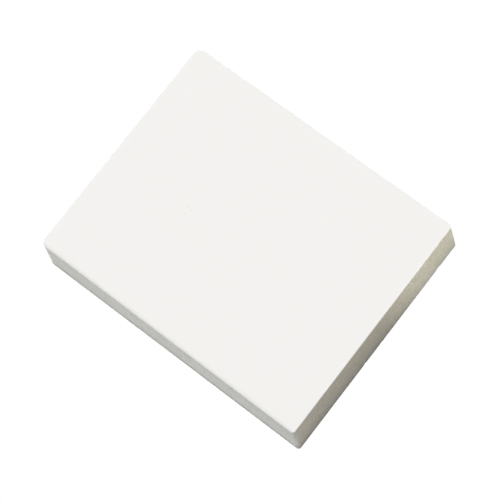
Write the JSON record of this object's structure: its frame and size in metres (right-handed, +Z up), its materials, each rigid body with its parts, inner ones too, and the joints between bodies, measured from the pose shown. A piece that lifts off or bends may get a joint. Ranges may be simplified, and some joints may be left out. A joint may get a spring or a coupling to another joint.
{
  "type": "gymnastics chalk block",
  "caption": "Plain rectangular slab of pressed magnesium carbonate chalk with slightly drafted sides and softly rounded corners and rims.",
  "frame": {"origin": "centre of the large base face that the block lies on", "axes": "+X along the length, +Y along the width, +Z up out of the base face"},
  "size_m": [0.085, 0.0688, 0.019],
  "materials": {
    "pressed_chalk": "matte, dry and powdery"
  },
  "bodies": {
    "root": {"chalk_block": "pressed_chalk"}
  },
  "joints": []
}
